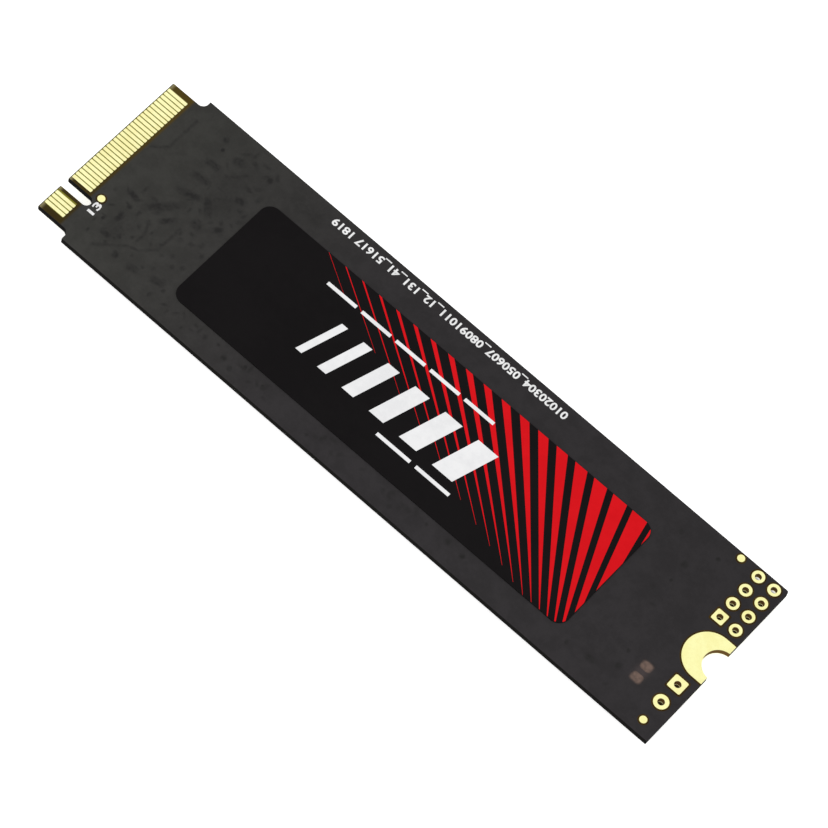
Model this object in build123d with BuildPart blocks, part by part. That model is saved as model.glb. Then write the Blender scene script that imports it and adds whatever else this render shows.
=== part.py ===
import os
from math import floor

from build123d import *

os.makedirs("parts", exist_ok=True)

# Bare M.2 solid-state drive, millimetres. X runs from the edge connector to the screw end,
# Y across the card, +Z out of the label side. The card lies chips down: z = 0 is the plane
# of the memory chips' faces.

# Circuit board
board_length = 80.0
board_width = 22.0
board_thickness = 0.8
tab_length = 4.1
shoulder_step = 1.075
shoulder_radius = 0.7
end_corner_radius = 0.25
tip_bevel = 0.12
copper_thickness = 0.035

# Sides of the polygons that stand for small repeated circles: holes, pads, dots and dimples
small_circle_sides = 16

# Key notch in the tab, measured from the centre line
key_offset = 6.125
key_width = 1.2
key_depth = 3.5

# Edge contacts: the two faces are staggered by half a pitch
contact_pitch = 0.5
contact_width = 0.37
contact_length = 2.5
contact_setback = 0.13
contact_end_chamfer = 0.1
contact_edge_margin = 0.675
contact_key_margin = 0.45

# Screw notch: a plated half hole whose centre lies just past the board's end
notch_radius = 1.75
notch_overrun = 0.1
plating_thickness = 0.025
notch_pad_radius = 2.8
notch_pad_inset = 1.2

# Service header, two columns of plated holes
header_pitch = 2.0
header_columns = 2
header_pad = 1.5
header_hole = 0.7
header_end_margin = 0.43
header_side_margin = 0.18
header_notch_gap = 0.45

# Two-pin jumper
jumper_pitch = 2.54
jumper_count = 2
jumper_pad = 1.75
jumper_hole = 0.75
jumper_end_margin = 0.725
jumper_notch_gap = 0.67

# Fiducial dots and the lands of a part that isn't fitted
fiducial_diameter = 0.95
fiducial_key_gap = 1.175
fiducial_shoulder_inset = 0.25
fiducial_end_inset = 1.67
fiducial_foot_inset = 1.47
fiducial_side_inset = 0.6
fiducial_header_gap = 1.25
land_length = 1.2
land_width = 1.05
land_pitch = 1.65
land_end_inset = 4.95
land_offset = 5.82

# Label film and its print
label_length = 50.66
label_width = 14.68
label_thickness = 0.1
label_corner_radius = 1.3
label_setback = 11.67
label_drop = 0.58
ink_thickness = 0.02
ink_margin = 0.04
stripe_count = 19
stripe_head_start = 7.89
stripe_head_pitch = 2.24
stripe_head_growth = 0.009
stripe_foot_start = 32.46
stripe_foot_pitch = 1.562
stripe_foot_growth = -0.0224
stripe_head_width = 0.08
stripe_head_gain = 0.105
stripe_foot_width = -0.38
stripe_foot_gain = 0.039
stripe_tip_width = 0.04
bar_count = 6
bar_width_first = 0.8
bar_width_step = 0.36
bar_gap = 2.05
bar_height = 5.3
bar_slant = 1.5
bar_start = 12.6
bar_foot = 4.3
dash_height = 0.4
dash_gap = 0.7
upper_dashes_count = 5
upper_dashes_length = 21.8
upper_dashes_start = 10.1
upper_dashes_gap = 2.4
lower_dashes_count = 2
lower_dashes_length = 9.4
lower_dashes_start = 24.4
lower_dashes_gap = 1.3

# Ball-grid packages on the chip side
chip_edge = 0.06
dimple_radius = 0.4
dimple_depth = 0.05
dimple_inset = 1.1
ball_sides = 4
memory_length = 12.0
memory_width = 18.0
memory_thickness = 0.9
memory_gap = 1.4
memory_ball_pitch = 1.0
memory_ball_radius = 0.24
memory_ball_height = 0.25
memory_ball_margin = 1.0
controller_size = 9.0
controller_thickness = 0.75
controller_ball_pitch = 0.5
controller_ball_radius = 0.15
controller_ball_height = 0.2
controller_ball_margin = 0.5

# Power chip in a leadless package
power_size = 4.0
power_thickness = 0.6
lead_count = 6
lead_pitch = 0.5
lead_width = 0.25
lead_length = 0.4
lead_thickness = 0.15
thermal_pad = 2.6

# Crystal
crystal_width = 2.0
crystal_length = 2.5
crystal_base_height = 0.35
crystal_lid_height = 0.2
crystal_lid_inset = 0.2
crystal_corner_radius = 0.25

# Two-terminal parts: length, width, height and length of each metal end
capacitor_length = 1.0
capacitor_width = 0.5
capacitor_height = 0.5
capacitor_end = 0.25
bulk_length = 2.0
bulk_width = 1.25
bulk_height = 0.95
bulk_end = 0.45
inductor_length = 2.5
inductor_width = 2.0
inductor_height = 1.0
inductor_end = 0.5
resistor_length = 1.0
resistor_width = 0.5
resistor_height = 0.35
resistor_end = 0.2
end_wrap = 0.02

# Room between the parts on the chip side
part_gap = 0.6
side_margin = 1.2
coupling_setback = 1.2
coupling_pair_pitch = 2.4
coupling_pairs = 4
column_count = 5
upper_row_count = 6
lower_row_count = 5
resistor_count = 6
bypass_count = 3
bulk_count = 3
end_zone = 5.3
memory_zone_gap = 1.2
row_pitch = 1.5
bypass_spread = 3.5

# Levels
chip_side_z = memory_thickness + memory_ball_height
label_side_z = chip_side_z + board_thickness
label_top_z = label_side_z + label_thickness

# Places along and across the card
tip_x = -board_length / 2
end_x = board_length / 2
side_y = board_width / 2
shoulder_x = tip_x + tab_length
tab_width = board_width - 2 * shoulder_step
notch_x = end_x + notch_overrun
notch_pad_x = end_x - notch_pad_inset
contact_x = tip_x + contact_setback + contact_length / 2
chip_row_y = tab_width / 2 - contact_edge_margin
label_row_y = chip_row_y - contact_pitch / 2
header_x = end_x - header_end_margin - header_pad / 2
header_top_y = side_y - header_side_margin - header_pad / 2
header_room = header_top_y - notch_pad_radius - header_notch_gap - header_pad / 2
header_rows = floor(header_room / header_pitch) + 1
jumper_x = end_x - jumper_end_margin - jumper_pad / 2
jumper_y = -notch_pad_radius - jumper_notch_gap - jumper_pad / 2

# Chain of chip-side parts from the connector towards the memory chips
coupling_x = shoulder_x + coupling_setback + capacitor_length / 2
column_x = coupling_x + capacitor_length / 2 + part_gap + capacitor_width / 2
controller_x = column_x + capacitor_width / 2 + part_gap + controller_size / 2
crystal_x = controller_x + controller_size / 2 + part_gap + crystal_width / 2
memory_zone_x = crystal_x + crystal_width / 2 + memory_zone_gap
memory_end_x = end_x - end_zone
memory_pitch = memory_length + memory_gap
memory_count = floor((memory_end_x - memory_zone_x + memory_gap) / memory_pitch)
power_x = shoulder_x + coupling_setback + inductor_length + part_gap + power_size / 2
left_coil_x = power_x - power_size / 2 - part_gap - inductor_length / 2
right_coil_x = power_x + power_size / 2 + part_gap + inductor_length / 2
bulk_x = right_coil_x + inductor_length / 2 + part_gap + bulk_length / 2

# Chain of chip-side parts from the side edge across the card
resistor_y = side_y - side_margin - resistor_width / 2
upper_row_y = resistor_y - resistor_width / 2 - part_gap - capacitor_length / 2
controller_y = upper_row_y - capacitor_length / 2 - part_gap - controller_size / 2
lower_row_y = controller_y - controller_size / 2 - part_gap - capacitor_length / 2
power_y = lower_row_y - capacitor_length / 2 - part_gap - power_size / 2
coil_step = inductor_width / 2 + part_gap / 2
bulk_step = bulk_width + part_gap
crystal_y = controller_y + row_pitch
bypass_y = memory_width / 2 + part_gap + capacitor_width / 2


# Where the contacts of one face lie: an even row, open at the key notch
def contact_places(row_y):
    row = [row_y - contact_pitch * step for step in range(floor(2 * row_y / contact_pitch) + 1)]
    key_room = key_width / 2 + contact_key_margin
    return [(contact_x, y) for y in row if abs(y + key_offset) > key_room]


# One contact strip per place, with its inner corners cut off
def contact_strips(places, face_z):
    with BuildPart() as strips:
        with BuildSketch(Plane.XY.offset(face_z)) as outline:
            with Locations(*places):
                Rectangle(contact_length, contact_width)
            chamfer(outline.vertices().group_by(Axis.X)[-1], contact_end_chamfer)
        extrude(amount=copper_thickness)
    return strips.part


header_places = [
    (header_x - header_pitch * column, header_top_y - header_pitch * row)
    for row in range(header_rows)
    for column in range(header_columns)
]
jumper_places = [(jumper_x, jumper_y - jumper_pitch * row) for row in range(jumper_count)]
fiducial_places = [
    (shoulder_x - fiducial_shoulder_inset, fiducial_key_gap - key_offset),
    (end_x - fiducial_end_inset, fiducial_foot_inset - side_y),
    (
        header_x - header_pitch * (header_columns - 1) - header_pad / 2 - fiducial_header_gap
        - fiducial_diameter / 2,
        side_y - fiducial_side_inset,
    ),
]


# Laminate board: tab with filleted shoulders, bevelled tip, key notch, screw notch and drilled holes
with BuildPart() as circuit_board:
    with BuildSketch(Plane.XY.offset(chip_side_z)) as outline:
        with Locations((shoulder_x, 0)):
            Rectangle(end_x - shoulder_x, board_width, align=(Align.MIN, Align.CENTER))
        fillet(outline.vertices().group_by(Axis.X)[-1].sort_by(Axis.Y)[-1], end_corner_radius)
        with Locations((shoulder_x, 0)):
            Rectangle(tab_length, tab_width, align=(Align.MAX, Align.CENTER))
        fillet(outline.vertices().group_by(Axis.X)[1].sort_by(SortBy.DISTANCE)[:2], shoulder_radius)
        with Locations((tip_x, -key_offset)):
            SlotOverall(2 * key_depth, key_width, mode=Mode.SUBTRACT)
        with Locations((notch_x, 0)):
            Circle(notch_radius + plating_thickness, mode=Mode.SUBTRACT)
        with Locations(*header_places):
            RegularPolygon(header_hole / 2 + plating_thickness, small_circle_sides, mode=Mode.SUBTRACT)
        with Locations(*jumper_places):
            RegularPolygon(jumper_hole / 2 + plating_thickness, small_circle_sides, mode=Mode.SUBTRACT)
    extrude(amount=board_thickness)
    chamfer(circuit_board.edges().filter_by(Axis.Y).group_by(Axis.X)[0], tip_bevel)
circuit_board.part.label = "circuit_board"
export_step(circuit_board.part, "parts/circuit_board.step")

# Gold contact strips on the two faces of the tab
edge_contacts_label_side = contact_strips(contact_places(label_row_y), label_side_z)
edge_contacts_label_side.label = "edge_contacts_label_side"
export_step(edge_contacts_label_side, "parts/edge_contacts_label_side.step")

edge_contacts_chip_side = contact_strips(contact_places(chip_row_y), chip_side_z - copper_thickness)
edge_contacts_chip_side.label = "edge_contacts_chip_side"
export_step(edge_contacts_chip_side, "parts/edge_contacts_chip_side.step")

# Plated screw notch: a pad on each face, joined by the thin half barrel on the notch wall
with BuildPart() as screw_notch_plating:
    with BuildSketch(Plane.XY.offset(chip_side_z - copper_thickness)):
        with Locations((notch_pad_x, 0)):
            Circle(notch_pad_radius)
            Rectangle(notch_pad_inset, 2 * notch_pad_radius, align=(Align.MIN, Align.CENTER))
        with Locations((end_x, 0)):
            Rectangle(board_length, board_width, align=(Align.MAX, Align.CENTER), mode=Mode.INTERSECT)
        with Locations((notch_x, 0)):
            Circle(notch_radius, mode=Mode.SUBTRACT)
    extrude(amount=board_thickness + 2 * copper_thickness)
    with BuildSketch(Plane.XY.offset(chip_side_z)):
        Rectangle(2 * board_length, board_width)
        with Locations((notch_x, 0)):
            Circle(notch_radius + plating_thickness, mode=Mode.SUBTRACT)
    extrude(amount=board_thickness, mode=Mode.SUBTRACT)
screw_notch_plating.part.label = "screw_notch_plating"
export_step(screw_notch_plating.part, "parts/screw_notch_plating.step")


# Plated through holes: a pad on each face and a thin barrel; the pad at square_place is square
def plated_holes(places, square_place, pad, hole):
    with BuildPart() as eyelets:
        with BuildSketch(Plane.XY.offset(chip_side_z - copper_thickness)):
            with Locations(*[place for place in places if place != square_place]):
                RegularPolygon(pad / 2, small_circle_sides)
            with Locations(square_place):
                Rectangle(pad, pad)
            with Locations(*places):
                RegularPolygon(hole / 2, small_circle_sides, mode=Mode.SUBTRACT)
        extrude(amount=board_thickness + 2 * copper_thickness)
        with BuildSketch(Plane.XY.offset(chip_side_z)):
            with Locations(*places):
                Rectangle(2 * pad, 2 * pad)
            with Locations(*places):
                RegularPolygon(hole / 2 + plating_thickness, small_circle_sides, mode=Mode.SUBTRACT)
        extrude(amount=board_thickness, mode=Mode.SUBTRACT)
    return eyelets.part


header_eyelets = plated_holes(header_places, header_places[-1], header_pad, header_hole)
header_eyelets.label = "header_eyelets"
export_step(header_eyelets, "parts/header_eyelets.step")

jumper_eyelets = plated_holes(jumper_places, jumper_places[0], jumper_pad, jumper_hole)
jumper_eyelets.label = "jumper_eyelets"
export_step(jumper_eyelets, "parts/jumper_eyelets.step")

# Fiducial dots, at the same places on both faces
with BuildPart() as fiducial_dots:
    with BuildSketch(Plane.XY.offset(chip_side_z - copper_thickness), Plane.XY.offset(label_side_z)):
        with Locations(*fiducial_places):
            RegularPolygon(fiducial_diameter / 2, small_circle_sides)
    extrude(amount=copper_thickness)
fiducial_dots.part.label = "fiducial_dots"
export_step(fiducial_dots.part, "parts/fiducial_dots.step")

# The two bare lands near the jumper
with BuildPart() as spare_lands:
    with BuildSketch(Plane.XY.offset(label_side_z)):
        with Locations((end_x - land_end_inset, -land_offset)):
            with GridLocations(land_length, land_pitch, 1, 2):
                Rectangle(land_length, land_width)
    extrude(amount=copper_thickness)
spare_lands.part.label = "spare_lands"
export_step(spare_lands.part, "parts/spare_lands.step")

# Label film
label_left_x = shoulder_x + label_setback
label_x = label_left_x + label_length / 2
label_top_y = label_width / 2 - label_drop
label_foot_y = -label_width / 2 - label_drop
with BuildPart() as label:
    with BuildSketch(Plane.XY.offset(label_side_z)):
        with Locations((label_x, -label_drop)):
            RectangleRounded(label_length, label_width, label_corner_radius)
    extrude(amount=label_thickness)
label.part.label = "label"
export_step(label.part, "parts/label.step")


# A row of equal dashes that starts at x
def draw_dashes(x, y, row_length, count, mode):
    pitch = (row_length + dash_gap) / count
    with Locations((x + row_length / 2, y)):
        with GridLocations(pitch, dash_height, count, 1):
            Rectangle(pitch - dash_gap, dash_height, mode=mode)


# White print: slanted bars that widen to the right, with a row of dashes above and below
def draw_white_print(mode):
    left = label_left_x + bar_start
    low = label_foot_y + bar_foot
    for step in range(bar_count):
        width = bar_width_first + bar_width_step * step
        Polygon(
            (left, low),
            (left + width, low),
            (left + width + bar_slant, low + bar_height),
            (left + bar_slant, low + bar_height),
            align=None,
            mode=mode,
        )
        left += width + bar_gap
    upper_x, upper_y = label_left_x + upper_dashes_start, low + bar_height + upper_dashes_gap
    draw_dashes(upper_x, upper_y, upper_dashes_length, upper_dashes_count, mode)
    lower_x, lower_y = label_left_x + lower_dashes_start, low - lower_dashes_gap
    draw_dashes(lower_x, lower_y, lower_dashes_length, lower_dashes_count, mode)


with BuildPart() as label_white_print:
    with BuildSketch(Plane.XY.offset(label_top_z)):
        draw_white_print(Mode.ADD)
    extrude(amount=ink_thickness)
label_white_print.part.label = "label_white_print"
export_step(label_white_print.part, "parts/label_white_print.step")

# Red print: a fan of stripes from the label's upper edge. Their heads spread and their feet crowd
# towards the right; a stripe whose width runs out above the lower edge ends there in a tip.
with BuildPart() as label_red_stripes:
    with BuildSketch(Plane.XY.offset(label_top_z)):
        for step in range(stripe_count):
            head = label_left_x + stripe_head_start + stripe_head_pitch * step + stripe_head_growth * step**2
            foot = label_left_x + stripe_foot_start + stripe_foot_pitch * step + stripe_foot_growth * step**2
            head_width = stripe_head_width + stripe_head_gain * step
            foot_width = stripe_foot_width + stripe_foot_gain * step
            reach = min(1, head_width / (head_width - foot_width))
            tip = head + (foot - head) * reach
            tip_width = max(foot_width, stripe_tip_width)
            tip_y = label_top_y - label_width * reach
            Polygon(
                (head - head_width / 2, label_top_y),
                (head + head_width / 2, label_top_y),
                (tip + tip_width / 2, tip_y),
                (tip - tip_width / 2, tip_y),
                align=None,
            )
        with Locations((label_x, -label_drop)):
            RectangleRounded(
                label_length - 2 * ink_margin,
                label_width - 2 * ink_margin,
                label_corner_radius - ink_margin,
                mode=Mode.INTERSECT,
            )
        draw_white_print(Mode.SUBTRACT)
    extrude(amount=ink_thickness)
label_red_stripes.part.label = "label_red_stripes"
export_step(label_red_stripes.part, "parts/label_red_stripes.step")


# Moulded chip package: chamfered edge round its outer face and the dimple at its first corner
def chip_package(x, y, length, width, thickness, face_z):
    with BuildPart() as package:
        with BuildSketch(Plane.XY.offset(face_z)):
            with Locations((x, y)):
                Rectangle(length, width)
        extrude(amount=thickness)
        chamfer(package.faces().sort_by(Axis.Z)[0].edges(), chip_edge)
        with BuildSketch(Plane.XY.offset(face_z)):
            with Locations((x - length / 2 + dimple_inset, y + width / 2 - dimple_inset)):
                RegularPolygon(dimple_radius, small_circle_sides)
        extrude(amount=dimple_depth, mode=Mode.SUBTRACT)
    return package.part


# The two rows of a package's solder balls that face the card's long edges, as short square posts
def ball_rows(x, y, length, width, pitch, margin, radius, height):
    columns = floor((length - 2 * margin) / pitch) + 1
    rows = floor((width - 2 * margin) / pitch) + 1
    with BuildPart() as balls:
        with BuildSketch(Plane.XY.offset(chip_side_z - height)):
            with Locations((x, y)):
                with GridLocations(pitch, pitch * (rows - 1), columns, 2):
                    RegularPolygon(radius, ball_sides)
        extrude(amount=height)
    return balls.part


controller_chip = chip_package(
    controller_x,
    controller_y,
    controller_size,
    controller_size,
    controller_thickness,
    chip_side_z - controller_ball_height - controller_thickness,
)
controller_chip.label = "controller_chip"
export_step(controller_chip, "parts/controller_chip.step")

controller_balls = ball_rows(
    controller_x,
    controller_y,
    controller_size,
    controller_size,
    controller_ball_pitch,
    controller_ball_margin,
    controller_ball_radius,
    controller_ball_height,
)
controller_balls.label = "controller_balls"
export_step(controller_balls, "parts/controller_balls.step")

# Memory chips in a row up to the screw end, numbered from the controller
memory_xs = [
    memory_end_x - memory_length / 2 - memory_pitch * (memory_count - 1 - step)
    for step in range(memory_count)
]
for number, memory_x in enumerate(memory_xs, start=1):
    memory_chip = chip_package(memory_x, 0, memory_length, memory_width, memory_thickness, 0)
    memory_chip.label = f"memory_chip_{number}"
    export_step(memory_chip, f"parts/memory_chip_{number}.step")
    memory_balls = ball_rows(
        memory_x,
        0,
        memory_length,
        memory_width,
        memory_ball_pitch,
        memory_ball_margin,
        memory_ball_radius,
        memory_ball_height,
    )
    memory_balls.label = f"memory_balls_{number}"
    export_step(memory_balls, f"parts/memory_balls_{number}.step")

# Power chip: flat body on its leads and thermal pad
power_chip = chip_package(
    power_x,
    power_y,
    power_size,
    power_size,
    power_thickness,
    chip_side_z - lead_thickness - power_thickness,
)
power_chip.label = "power_chip"
export_step(power_chip, "parts/power_chip.step")

lead_reach = (power_size - lead_length) / 2
with BuildPart() as power_chip_leads:
    with BuildSketch(Plane.XY.offset(chip_side_z - lead_thickness)):
        with Locations((power_x, power_y)):
            Rectangle(thermal_pad, thermal_pad)
            with PolarLocations(lead_reach, 4):
                with GridLocations(lead_length, lead_pitch, 1, lead_count):
                    Rectangle(lead_length, lead_width)
    extrude(amount=lead_thickness)
power_chip_leads.part.label = "power_chip_leads"
export_step(power_chip_leads.part, "parts/power_chip_leads.step")

# Crystal: ceramic base with a metal lid
crystal_lid_z = chip_side_z - crystal_base_height - crystal_lid_height
with BuildPart() as crystal_base:
    with BuildSketch(Plane.XY.offset(chip_side_z - crystal_base_height)):
        with Locations((crystal_x, crystal_y)):
            RectangleRounded(crystal_width, crystal_length, crystal_corner_radius)
    extrude(amount=crystal_base_height)
crystal_base.part.label = "crystal_base"
export_step(crystal_base.part, "parts/crystal_base.step")

with BuildPart() as crystal_lid:
    with BuildSketch(Plane.XY.offset(crystal_lid_z)):
        with Locations((crystal_x, crystal_y)):
            RectangleRounded(
                crystal_width - 2 * crystal_lid_inset,
                crystal_length - 2 * crystal_lid_inset,
                crystal_corner_radius,
            )
    extrude(amount=crystal_lid_height)
    chamfer(crystal_lid.faces().sort_by(Axis.Z)[0].edges(), chip_edge)
crystal_lid.part.label = "crystal_lid"
export_step(crystal_lid.part, "parts/crystal_lid.step")


# Blocks with a metal end at each side, lying on the chip side of the board
def end_capped_blocks(places, length, width, height, end_length):
    with BuildPart() as bodies:
        with BuildSketch(Plane.XY.offset(chip_side_z - height + end_wrap)):
            with Locations(*places):
                Rectangle(length - 2 * end_length, width - 2 * end_wrap)
        extrude(amount=height - 2 * end_wrap)
    with BuildPart() as ends:
        with BuildSketch(Plane.XY.offset(chip_side_z - height)):
            with Locations(*places):
                with GridLocations(length - end_length, width, 2, 1):
                    Rectangle(end_length, width)
        extrude(amount=height)
    return bodies.part, ends.part


# A row of places about a centre, each turned by the same angle
def centred_row(x, y, count, step_x, step_y, angle):
    return [
        Pos(x + step_x * (step - (count - 1) / 2), y + step_y * (step - (count - 1) / 2)) * Rot(0, 0, angle)
        for step in range(count)
    ]


# Small capacitors: coupling pairs behind the contacts, then round the controller, crystal and memory
pair_step = capacitor_width + part_gap / 2
capacitor_places = []
for pair in centred_row(coupling_x, controller_y, coupling_pairs, 0, coupling_pair_pitch, 0):
    capacitor_places += centred_row(pair.position.X, pair.position.Y, 2, 0, pair_step, 0)
capacitor_places += centred_row(column_x, controller_y, column_count, 0, row_pitch, 90)
capacitor_places += centred_row(controller_x, upper_row_y, upper_row_count, row_pitch, 0, 90)
capacitor_places += centred_row(controller_x, lower_row_y, lower_row_count, row_pitch, 0, 90)
crystal_pitch = crystal_length + 2 * part_gap + capacitor_width
capacitor_places += centred_row(crystal_x, crystal_y, 2, 0, crystal_pitch, 0)
for memory_x in memory_xs:
    capacitor_places += centred_row(memory_x, bypass_y, bypass_count, bypass_spread, 0, 0)
    capacitor_places += centred_row(memory_x, -bypass_y, bypass_count, bypass_spread, 0, 0)
for memory_x in memory_xs[1:]:
    capacitor_places += centred_row(memory_x - memory_pitch / 2, 0, bypass_count, 0, bypass_spread, 90)

capacitor_bodies, capacitor_ends = end_capped_blocks(
    capacitor_places, capacitor_length, capacitor_width, capacitor_height, capacitor_end
)
capacitor_bodies.label = "capacitor_bodies"
export_step(capacitor_bodies, "parts/capacitor_bodies.step")
capacitor_ends.label = "capacitor_ends"
export_step(capacitor_ends, "parts/capacitor_ends.step")

# Bulk capacitors: one under the right-hand inductor and a column beside it
bulk_places = centred_row(bulk_x, power_y, bulk_count, 0, bulk_step, 0)
bulk_places += [Pos(right_coil_x, power_y - coil_step)]
bulk_capacitor_bodies, bulk_capacitor_ends = end_capped_blocks(
    bulk_places, bulk_length, bulk_width, bulk_height, bulk_end
)
bulk_capacitor_bodies.label = "bulk_capacitor_bodies"
export_step(bulk_capacitor_bodies, "parts/bulk_capacitor_bodies.step")
bulk_capacitor_ends.label = "bulk_capacitor_ends"
export_step(bulk_capacitor_ends, "parts/bulk_capacitor_ends.step")

# Power inductors: two on the connector side of the power chip and one on the other
inductor_places = centred_row(left_coil_x, power_y, 2, 0, 2 * coil_step, 0)
inductor_places += [Pos(right_coil_x, power_y + coil_step)]
inductor_bodies, inductor_ends = end_capped_blocks(
    inductor_places, inductor_length, inductor_width, inductor_height, inductor_end
)
inductor_bodies.label = "inductor_bodies"
export_step(inductor_bodies, "parts/inductor_bodies.step")
inductor_ends.label = "inductor_ends"
export_step(inductor_ends, "parts/inductor_ends.step")

# Resistors in a row along the side edge
resistor_bodies, resistor_ends = end_capped_blocks(
    centred_row(controller_x, resistor_y, resistor_count, row_pitch, 0, 0),
    resistor_length,
    resistor_width,
    resistor_height,
    resistor_end,
)
resistor_bodies.label = "resistor_bodies"
export_step(resistor_bodies, "parts/resistor_bodies.step")
resistor_ends.label = "resistor_ends"
export_step(resistor_ends, "parts/resistor_ends.step")
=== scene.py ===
import math

import bmesh
import bpy
import numpy as np
from mathutils import Matrix, Vector


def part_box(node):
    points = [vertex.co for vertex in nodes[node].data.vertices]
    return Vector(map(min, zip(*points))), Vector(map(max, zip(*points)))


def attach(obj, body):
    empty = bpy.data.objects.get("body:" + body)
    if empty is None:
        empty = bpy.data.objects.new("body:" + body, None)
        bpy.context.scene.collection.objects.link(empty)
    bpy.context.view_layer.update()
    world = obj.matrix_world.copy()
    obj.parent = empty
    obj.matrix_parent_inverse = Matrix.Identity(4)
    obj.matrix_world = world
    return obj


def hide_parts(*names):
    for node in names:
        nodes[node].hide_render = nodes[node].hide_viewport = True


# Finishes and fine forms of a bare M.2 solid-state drive, laid over its CAD frame.
# Sizes are millimetres until addPiece puts a piece into the scene.
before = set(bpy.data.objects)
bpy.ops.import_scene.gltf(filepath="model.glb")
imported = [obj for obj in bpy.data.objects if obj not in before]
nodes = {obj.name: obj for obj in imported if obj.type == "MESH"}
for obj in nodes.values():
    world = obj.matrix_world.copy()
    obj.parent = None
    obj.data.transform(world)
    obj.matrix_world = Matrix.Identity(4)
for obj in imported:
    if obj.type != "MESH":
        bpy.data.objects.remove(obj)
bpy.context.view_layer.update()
mm = 0.001
scene = bpy.context.scene
scene.view_settings.view_transform = "Standard"

boardLow, boardHigh = (np.array(corner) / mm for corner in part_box("circuit_board"))
chipFace, labelFace = boardLow[2], boardHigh[2]
tipX, endX = boardLow[0], boardHigh[0]
# Each side's face and the way out of it, and the end of a block that points that way
faceSides = {"label_side": (labelFace, 1), "chip_side": (chipFace, -1)}
outerEnds = {"label_side": "high", "chip_side": "low"}
print("frame:", len(nodes), "CAD nodes")


# Lowest and highest corner of every separate solid in a CAD node: equal corners become one
# vertex, then the lowest vertex number spreads over the triangles until each solid has one number
def solidBoxes(nodeName):
    mesh = nodes[nodeName].data
    corners = np.empty(len(mesh.vertices) * 3)
    mesh.vertices.foreach_get("co", corners)
    mesh.calc_loop_triangles()
    triangles = np.empty(len(mesh.loop_triangles) * 3, np.int64)
    mesh.loop_triangles.foreach_get("vertices", triangles)
    places, same = np.unique(np.round(corners.reshape(-1, 3) / mm, 4), axis=0, return_inverse=True)
    triangles = same.ravel()[triangles].reshape(-1, 3)
    mark, before = np.arange(len(places)), None
    while before is None or (mark != before).any():
        before = mark.copy()
        np.minimum.at(mark, triangles.ravel(), np.repeat(before[triangles].min(axis=1), 3))
    return np.array([(places[mark == key].min(0), places[mark == key].max(0)) for key in np.unique(mark)])


# Points of the unit circle at some angles
def onCircle(angle):
    return np.stack([np.cos(angle), np.sin(angle)], axis=-1)


def fullTurn(steps):
    return np.linspace(0, 2 * np.pi, steps, endpoint=False)


# Flat points with their heights as the third coordinate
def standing(flat, height):
    return np.concatenate([flat, np.broadcast_to(height, flat.shape[:-1] + (1,))], axis=-1)


# Grids of points as one form, its points and its quads: the last axes are the rows and the columns of
# a grid and the coordinates; a direction that closes on itself joins its ends
def gridForm(points, closeRows=False, closeColumns=False):
    rows, columns = points.shape[-3:-1]
    row, column = np.meshgrid(
        np.arange(rows if closeRows else rows - 1),
        np.arange(columns if closeColumns else columns - 1),
        indexing="ij",
    )
    nextRow, nextColumn = (row + 1) % rows, (column + 1) % columns
    quads = np.stack([row * columns + column, row * columns + nextColumn,
                      nextRow * columns + nextColumn, nextRow * columns + column], axis=-1)
    starts = np.arange(0, points.size // 3, rows * columns)
    return points.reshape(-1, 3), (quads + starts[:, None, None, None]).reshape(-1, 4).tolist()


# Several forms as one: the quads of each are numbered on from the points before
def joinForms(forms):
    starts = np.cumsum([0] + [len(points) for points, quads in forms])
    quads = [np.array(quads) + start for (points, quads), start in zip(forms, starts)]
    return np.concatenate([points for points, quads in forms]), np.concatenate(quads).tolist()


# Puts a form, its points and its faces, into the scene as one piece of the object: doubles merged,
# open ends closed, faces turned outwards, shaded smooth up to the crease angle
def addPiece(name, form, finish, replaced=(), crease=50):
    points, faces = form
    mesh = bpy.data.meshes.new(name)
    mesh.from_pydata((points * mm).tolist(), [], faces)
    skin = bmesh.new()
    skin.from_mesh(mesh)
    bmesh.ops.remove_doubles(skin, verts=skin.verts, dist=1e-7)
    bmesh.ops.holes_fill(skin, edges=[edge for edge in skin.edges if edge.is_boundary], sides=0)
    bmesh.ops.recalc_face_normals(skin, faces=skin.faces)
    skin.to_mesh(mesh)
    skin.free()
    mesh.polygons.foreach_set("use_smooth", np.ones(len(mesh.polygons), bool))
    mesh.set_sharp_from_angle(angle=math.radians(crease))
    mesh.materials.append(made[finish])
    piece = bpy.data.objects.new(name, mesh)
    scene.collection.objects.link(piece)
    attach(piece, "root")
    if replaced:
        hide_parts(*replaced)


# A flat face starts flatInset edge radii in; a drawn-in corner keeps leastCorner of its radius
flatInset, leastCorner = 1.7, 0.15


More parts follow.
